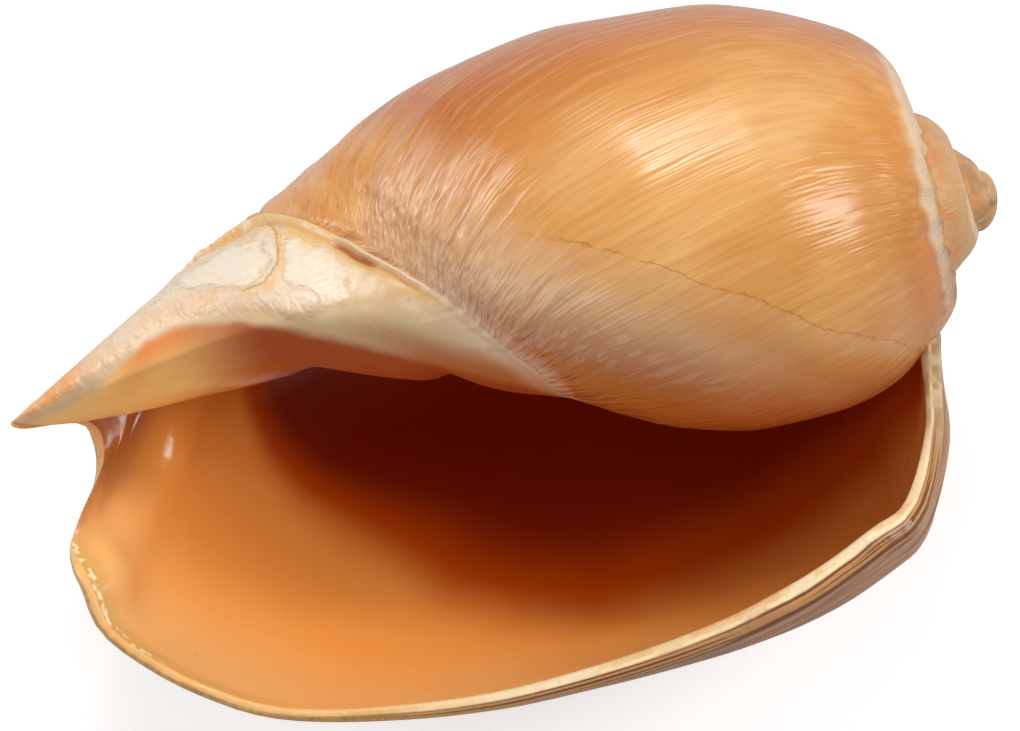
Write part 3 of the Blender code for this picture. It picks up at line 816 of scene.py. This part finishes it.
# body whorl, the glaze beside the aperture with its jagged edge, the cream band beside the suture
topSide = spread(grown, -0.68, -0.50)
lowerEnd = times(spread(station, 8.6, 10.4), spread(grown, -0.45, -0.53))
glazeDepth, ridgeGap, rimGap = known["glazed"], known["ridge"], known["rim"]
glazeEdge = plus(glazeDepth, swing(mottle, 2.6), swing(grain, 0.6))
# deeper into the glaze, toward the aperture, it darkens: partly its own deeper tone, partly painted shade
glazeTone = blend(spread(glazeDepth, 7.0, 18.0), "glaze", "glazeLow")
frosty = times(spread(glazeDepth, 4.0, 10.0), spread(glazeDepth, 21.0, 15.0), spread(station, 6.0, 8.0))
scuffs = spread(lineNoise(growth, 3.0, 1.3, 1.0, 0.7), 0.50, 0.66)
meltedEdge = spread(plus(ridgeGap, swing(mottle, 3.0)), 5.0, 0.5)
suture = plus(known["suture"], swing(mottle, 5.0), swing(cloud, 9.0))
belowSuture = times(spread(suture, 16.5, 19.0), spread(suture, 34.0, 22.0))
body = layers(
    blend(spread(broadLine, 0.35, 0.65), "tan", "honey"),
    ("pale", spread(cloud, 0.45, 0.72), 0.40),
    # the top side is darker: partly its own deeper tone, partly painted shade where it turns away from the
    # light
    ("topTan", topSide, spread(station, 8.6, 10.4, 0.85, 0.2)),
    ("lowHoney", spread(station, 6.5, 3.0), spread(grown, -0.66, -0.80), 0.75),
    ("ridgeLine", lowerEnd, lineAt(plus(threadLine, -0.47), 0.022), 0.34),
    ("pink", lowerEnd, spread(streakLine, 0.25, 0.55), 0.75),
    ("streak", lowerEnd, spread(threadLine, 0.50, 0.38), 0.40),
    ("streak", spread(streakLine, 0.52, 0.76), plus(0.16, times(topSide, 0.40))),
    ("pale", spread(threadLine, 0.55, 0.72), 0.17),
    ("streak", spread(threadLine, 0.46, 0.34), 0.12),
    ("streak", spread(fineLine, 0.54, 0.70), 0.12),
    (glazeTone, spread(glazeEdge, -0.1, 1.2), plus(0.26, spread(glazeDepth, 3.0, 14.0, 0.0, 0.58))),
    # the glaze's suture-side part is darker: partly its deeper tone, partly painted shade beside the
    # aperture
    ("glazeLow", spread(glazeDepth, 0.5, 8.0), spread(station, 7.6, 5.4), 0.62),
    ("frost", frosty, plus(0.14, times(scuffs, 0.22))),
    ("frost", meltedEdge, spread(grown, -0.54, -0.66), 0.6),
    ("edgeLine", lineAt(glazeEdge, 0.26), spread(mottle, 0.36, 0.52), spread(station, 9.4, 7.6), 0.50),
    ("blotch", belowSuture, spread(cloud, 0.46, 0.58), 0.62),
    ("cream", spread(suture, 17.0, 12.8), 0.48),
    ("spireGreen", spread(suture, 15.0, 3.0), spread(threadLine, 0.45, 0.62), 0.35),
    ("blotch", spread(known["suture"], 0.9, 0.3), 0.5))

# outside of the lip, and the early whorls
outsideLip = spread(rimGap, 34.0, 12.0)
lipThread = lineNoise(plus(growth, times(isRim, grown, 11.0)), 0.5, 1.1, 1.0, 0.6)
outsideTone = layers(
    "outside",
    ("growthBrown", spread(lipThread, 0.50, 0.62), 0.80),
    ("growthBrown", spread(fineLine, 0.52, 0.64), 0.35))
early = spread(grown, -0.97, -1.03)
earlyTone = layers(
    blend(spread(cloud, 0.42, 0.60), "spire", "spirePink"),
    ("spireGreen", spread(mottle, 0.50, 0.70), 0.45),
    ("spireDark", spread(threadLine, 0.50, 0.70), 0.12),
    ("blotch", spread(known["foot"], 4.5, 1.0), spread(mottle, 0.40, 0.56), 0.60),
    ("cream", spread(suture, 8.0, 4.0), spread(grown, -2.1, -1.9, 0.1, 0.5)),
    ("spireDark", spread(grown, -1.9, -2.2), spread(mottle, 0.60, 0.42), 0.55))
body = layers(body, (outsideTone, outsideLip, 0.85), (earlyTone, early))

# callus, worn end and orange roll of the columella
towardApex, sideways, upright = addNode("SeparateXYZ", place)
leaned = plus(times(towardApex, 900.0), times(sideways, 350.0))
wrinkle = noiseAt(join(leaned, times(sideways, 430.0), times(upright, 430.0)), 1.8, 2.0, 0.6)
pastLip = plus(grown, 1.0)
rollDepth, arcGap, onRing = known["roll"], known["arc"], known["onArc"]
# a golden band just below the ridge: a golden tone with painted shadow under the ridge
goldShadowUnder = times(spread(ridgeGap, 0.8, 1.6), spread(ridgeGap, 4.5, 2.0), spread(pastLip, 0.36, 0.42))
callus = layers(
    # toward the apex the callus darkens: partly its own tone, partly painted shade
    blend(spread(towardApex, -0.036, -0.006), "callus", "callusLowAndShade"),
    ("callusPale", spread(mottle, 0.50, 0.66), 0.4),
    ("callusGrey", spread(cloud, 0.52, 0.38), 0.5),
    # painted shade where the callus turns down toward the roll
    ("wornGap", spread(rollDepth, -6.0, -0.5), 0.45),
    # painted shade along the callus's lower edge, toward the apex
    ("glazeLow", spread(rollDepth, -5.0, -1.2), spread(towardApex, -0.026, -0.008), 0.85),
    ("frost", spread(pastLip, 0.42, 0.30), spread(ridgeGap, 6.0, 0.5), 0.6),
    # golden tone and painted shadow under the ridge
    ("oldGold", goldShadowUnder, 0.8),
    ("speck", spread(grain, 0.80, 0.84), 0.35))
wornShare = spread(plus(known["worn"], swing(mottle, 2.6), swing(wrinkle, 1.6)), -1.4, 1.8)
patchEdge = plus(known["patch"], swing(grain, 0.8))
wornTone = layers(
    blend(spread(mottle, 0.40, 0.64), "worn", "wornTan"),
    # painted shade in the wrinkles' hollows, outside the patches
    ("wornGap", spread(wrinkle, 0.43, 0.33), spread(known["patch"], 1.0, -1.0), 0.28),
    ("patch", spread(wrinkle, 0.54, 0.66), 0.6),
    ("patch", spread(patchEdge, -0.15, 0.35), spread(wrinkle, 0.20, 0.50), 0.80),
    ("olive", spread(patchEdge, -0.9, -0.1), spread(patchEdge, 0.1, -0.1), 0.25),
    # toward the roll the worn end turns down: painted shade there, stronger toward the apex
    (blend(spread(towardApex, -0.050, -0.034), "wornTan", "wornGap"), spread(rollDepth, -6.5, -1.0), 0.80),
    ("tipOlive", spread(known["tip"], 24.0, 8.0), spread(wrinkle, 0.35, 0.55, 0.5, 0.85)))
rollTone = layers(
    "roll",
    ("rollGlow", spread(rollDepth, 6.5, 0.5), spread(towardApex, -0.060, -0.052),
     spread(towardApex, -0.040, -0.047), 0.9),
    # painted shade near the roll's upper edge, on its apex side
    ("rollTan", spread(rollDepth, 5.0, 0.0), spread(towardApex, -0.050, -0.042), 0.75),
    # toward the apex the roll is a deeper orange, darkened further as painted shade
    ("rollDeep", spread(towardApex, -0.052, -0.034)))
onRoll = spread(plus(rollDepth, swing(cloud, 2.4), swing(mottle, 1.0)), -0.8, 1.1)
underRidge = times(spread(ridgeGap, 6.5, 2.0), spread(pastLip, 0.50, 0.56), spread(pastLip, 0.86, 0.74))
ridgeEdge = plus(ridgeGap, swing(mottle, 0.9))
inPit = times(spread(pastLip, 0.478, 0.490), spread(pastLip, 0.548, 0.534))
fan = layers(
    blend(wornShare, callus, wornTone),
    ("underRidge", underRidge, spread(mottle, 0.32, 0.56), 0.75),
    ("underRidge", spread(arcGap, -0.2, 0.4), spread(arcGap, 2.0, 0.5), onRing, 0.42),
    ("olive", lineAt(plus(arcGap, swing(grain, 0.35)), 0.34), onRing, 0.85),
    (rollTone, onRoll),
    # orange darkened as painted shade in the groove under the ridge, strongest in the pit
    ("slit", spread(ridgeEdge, 2.3, 1.6), spread(ridgeEdge, 0.8, 1.3), plus(0.18, times(inPit, 0.7))),
    ("cream", spread(ridgeEdge, 0.8, 0.2), spread(pastLip, 0.36, 0.46), 0.35))

# lining, darkening into painted shade deep in the hollow
deep = plus(known["deep"], swing(cloud, 0.22))
goldEdge = times(spread(plus(rimGap, swing(mottle, 3.0)), 5.0, 1.0), spread(station, 7.6, 8.8))
# by the canal's rim: whitish flakes, with painted glints
crustAndGlints = times(spread(rimGap, 1.5, 0.8), spread(station, 9.2, 9.9), spread(station, 12.2, 11.7))
innerTone = layers(
    blend(spread(plus(rimGap, swing(cloud, 16.0)), 4.0, 34.0), "nearRim", "inner"),
    ("nearRim", spread(streakLine, 0.50, 0.75), 0.16),
    # deeper into the hollow the lining turns red and dark: partly its own colour, partly painted shade
    ("innerRed", spread(deep, 0.12, 0.56)),
    ("cavity", spread(deep, 0.46, 1.0)),
    # the lining's corner by the canal near the lip: brown of its own, darkened as painted shade
    ("canalBrown", spread(station, 11.0, 12.6), spread(grown, -0.2, -0.08), 0.85),
    ("oldGold", goldEdge, spread(station, 12.0, 11.2), 0.55),
    (blend(spread(grain, 0.42, 0.66), "rimTan", "rimInner"), crustAndGlints),
    ("innerSpeck", spread(grain, 0.865, 0.88), spread(rimGap, 20.0, 12.0), spread(rimGap, 3.0, 6.0), 0.7))

# rim: cream inside with glints, and lines of growth along its outer half
rimSide = layers("outside", ("growthBrown", spread(lipThread, 0.46, 0.58), 0.85))
canalRim = layers(
    blend(spread(mottle, 0.40, 0.60), "rimOlive", "rimTan"),
    ("rimBrown", spread(grain, 0.48, 0.62), 0.5),
    ("nearRim", spread(grown, 0.50, 0.74)))
glint = times(spread(grown, 0.46, 0.56), spread(grown, 0.72, 0.60), spread(mottle, 0.36, 0.56, 0.25, 1.0))
rimTone = layers(
    "rimCream",
    ("rimTan", spread(cloud, 0.44, 0.60), 0.6),
    ("rimTan", spread(mottle, 0.54, 0.66), 0.45),
    (rimSide, spread(grown, 0.56, 0.44), spread(station, 0.8, 2.4)),
    ("rimBack", spread(station, 2.6, 1.2), spread(mottle, 0.34, 0.54, 0.35, 0.9)),
    (canalRim, spread(station, 6.5, 8.5)),
    ("rimInner", glint, spread(station, 6.0, 8.0, 0.85, 0.35)))

colour = layers(body, (innerTone, isLining), (fan, isColumella), (rimTone, isRim))
plug(shader.inputs["Base Color"], colour)

bodyGloss = plus(0.14, times(fineLine, 0.16), times(early, 0.16), times(outsideLip, 0.2))
fanGloss = mixed(wornShare, plus(0.24, times(mottle, 0.16)), plus(0.16, times(grain, 0.36)))
fanGloss = mixed(onRoll, fanGloss, spread(rollDepth, 9.0, 4.0, 0.17, 0.55))
gloss = mixed(isLining, bodyGloss, plus(0.10, times(mottle, 0.07)))
gloss = mixed(isColumella, gloss, fanGloss)
gloss = mixed(isRim, gloss, mixed(spread(mottle, 0.40, 0.60), 0.18, 0.42))
plug(shader.inputs["Roughness"], gloss)

# fine relief, in mm
bodyRelief = times(fineLine, plus(0.07, times(outsideLip, 0.10)))
bodyRelief = plus(bodyRelief, times(threadLine, plus(0.10, times(lowerEnd, 0.42))))
onWornEnd = times(spread(known["worn"], -1.0, 1.6), spread(rollDepth, 0.0, -3.0, 0.5, 1.0))
fanRelief = times(wrinkle, 1.0, spread(known["patch"], 0.8, -0.6, 0.35, 1.0))
fanRelief = times(onWornEnd, plus(fanRelief, times(grain, 0.12)))
height = mixed(isLining, bodyRelief, times(grain, 0.010))
height = mixed(isColumella, height, fanRelief)
height = mixed(isRim, height, times(wrinkle, 0.35))
bump = tree.nodes.new("ShaderNodeBump")
bump.inputs["Strength"].default_value = 1.0
bump.inputs["Distance"].default_value = 0.001
plug(bump.inputs["Height"], height)
plug(shader.inputs["Normal"], bump.outputs[0])
shellMesh.materials.append(shellFinish)
print("finish made, tones:", len(shellTones))
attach(shellPiece, "root")
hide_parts("shell")

# table, light and camera: the table's glow and the sky's full white are seen by the camera alone
stageForm = {"tableSize": 6, "tableTone": (0.64, 0.64, 0.64, 1), "tableRoughness": 0.9, "skyLight": 0.28,
             "glowFade": (0.3, 1.3, 0.58, 0.95),  # two distances from the middle and how bright at each
             "lampsLookAt": (0, 0, 0.03)}
bpy.ops.mesh.primitive_plane_add(size=stageForm["tableSize"], location=(0, 0, -0.0002))
table = bpy.context.object
table.name = "table"
tableTop = bpy.data.materials.new("paleTable")
tableTop.use_nodes = True
tree = tableTop.node_tree
tableShader = tree.nodes["Principled BSDF"]
tableShader.inputs["Base Color"].default_value = stageForm["tableTone"]
tableShader.inputs["Roughness"].default_value = stageForm["tableRoughness"]
tableShader.inputs["Emission Color"].default_value = (1, 1, 1, 1)
fromMiddle = addNode("VectorMath", addNode("TexCoord")["Object"], operation="LENGTH")["Value"]
fade = addNode("MapRange", fromMiddle, *stageForm["glowFade"])[0]
plug(tableShader.inputs["Emission Strength"], times(addNode("LightPath")["Is Camera Ray"], fade))
table.data.materials.append(tableTop)

world = bpy.data.worlds.new("studio")
bpy.context.scene.world = world
world.use_nodes = True
tree = world.node_tree
seen = addNode("LightPath")["Is Camera Ray"]
skyLevel = plus(stageForm["skyLight"], times(seen, 1 - stageForm["skyLight"]))
tree.nodes["Background"].inputs["Color"].default_value = (1, 1, 1, 1)
plug(tree.nodes["Background"].inputs["Strength"], skyLevel)

cameraAim = {"turn": (19.654, 4.462, -9.013), "away": 2.2, "width": 0.15096, "sensor": 36,
             "target": (-0.0739, -0.0133, 0.0), "shellMiddle": (0.0736852, 0.0136350, 0.0485564)}
target = restMatrix @ Vector(cameraAim["target"]) + Vector(cameraAim["shellMiddle"])
cameraTurn = Euler([math.radians(a) for a in cameraAim["turn"]])
cameraPlace = target + cameraTurn.to_matrix() @ Vector((0, 0, cameraAim["away"]))
bpy.ops.object.camera_add(location=cameraPlace, rotation=cameraTurn)
camera = bpy.context.object
camera.data.sensor_width = cameraAim["sensor"]
camera.data.lens = cameraAim["sensor"] * cameraAim["away"] / cameraAim["width"]
camera.data.clip_end = 20
bpy.context.scene.camera = camera


def addLamp(name, place, size, power):
    bpy.ops.object.light_add(type="AREA", location=place)
    lamp = bpy.context.object
    lamp.name = name
    lamp.data.size = size
    lamp.data.energy = power
    toward = Vector(stageForm["lampsLookAt"]) - Vector(place)
    lamp.rotation_euler = toward.to_track_quat("-Z", "Y").to_euler()


addLamp("softbox", (0.01, 0.46, 0.80), 0.44, 2.3)
addLamp("softboxCore", (0.02, 0.43, 0.82), 0.15, 0.9)
addLamp("window", (0.68, -0.10, 0.56), 0.38, 3.0)
addLamp("windowTop", (0.52, -0.14, 0.74), 0.30, 1.1)
addLamp("leftFill", (-0.66, 0.42, 0.42), 0.36, 2.3)
addLamp("leftFront", (-0.62, -0.34, 0.46), 0.45, 1.0)

bpy.context.scene.view_settings.view_transform = "Standard"
print("table, lamps and camera placed")
